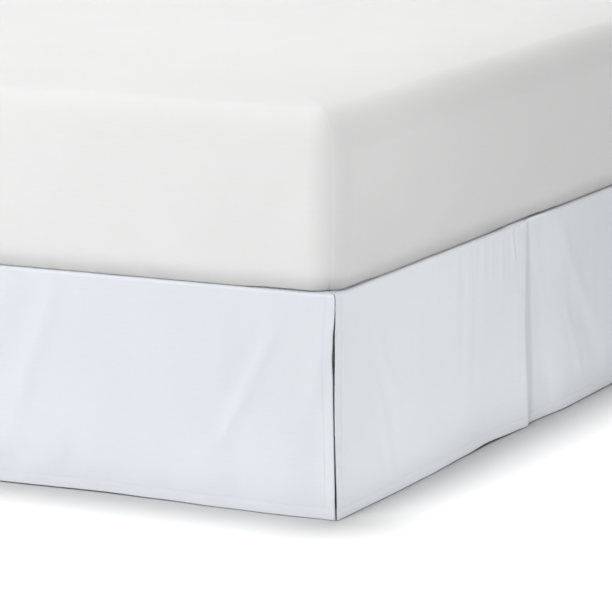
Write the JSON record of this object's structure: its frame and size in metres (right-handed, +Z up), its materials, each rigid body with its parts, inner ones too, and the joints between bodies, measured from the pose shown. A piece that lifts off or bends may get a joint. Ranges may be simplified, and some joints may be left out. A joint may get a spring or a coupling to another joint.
{
  "type": "bed skirt on a box base and mattress",
  "caption": "Tailored bed skirt with split foot corners and a lapped pleat in the middle of each side, hanging to the floor from between a box base and a mattress.",
  "frame": {"origin": "on the floor under the middle of the box base, at the foot of the middle leg", "axes": "+X towards the foot end of the bed, +Y across it to the far long side, +Z up"},
  "size_m": [2.0572, 1.5561, 0.6492],
  "materials": {
    "skirt_cloth": "smooth brushed weave, matte",
    "deck_cloth": "plain thin weave, matte",
    "mattress_cover": "plain white weave, matte",
    "base_cover": "plain woven cover, matte",
    "leg_wood": "satin"
  },
  "bodies": {
    "root": {"deck": "deck_cloth", "drop_side_near": "skirt_cloth", "drop_side_far": "skirt_cloth", "drop_foot": "skirt_cloth", "mattress": "mattress_cover", "box_base": "base_cover", "leg_head_near": "leg_wood", "leg_head_centre": "leg_wood", "leg_head_far": "leg_wood", "leg_middle_near": "leg_wood", "leg_middle_centre": "leg_wood", "leg_middle_far": "leg_wood", "leg_foot_near": "leg_wood", "leg_foot_centre": "leg_wood", "leg_foot_far": "leg_wood"}
  },
  "joints": []
}
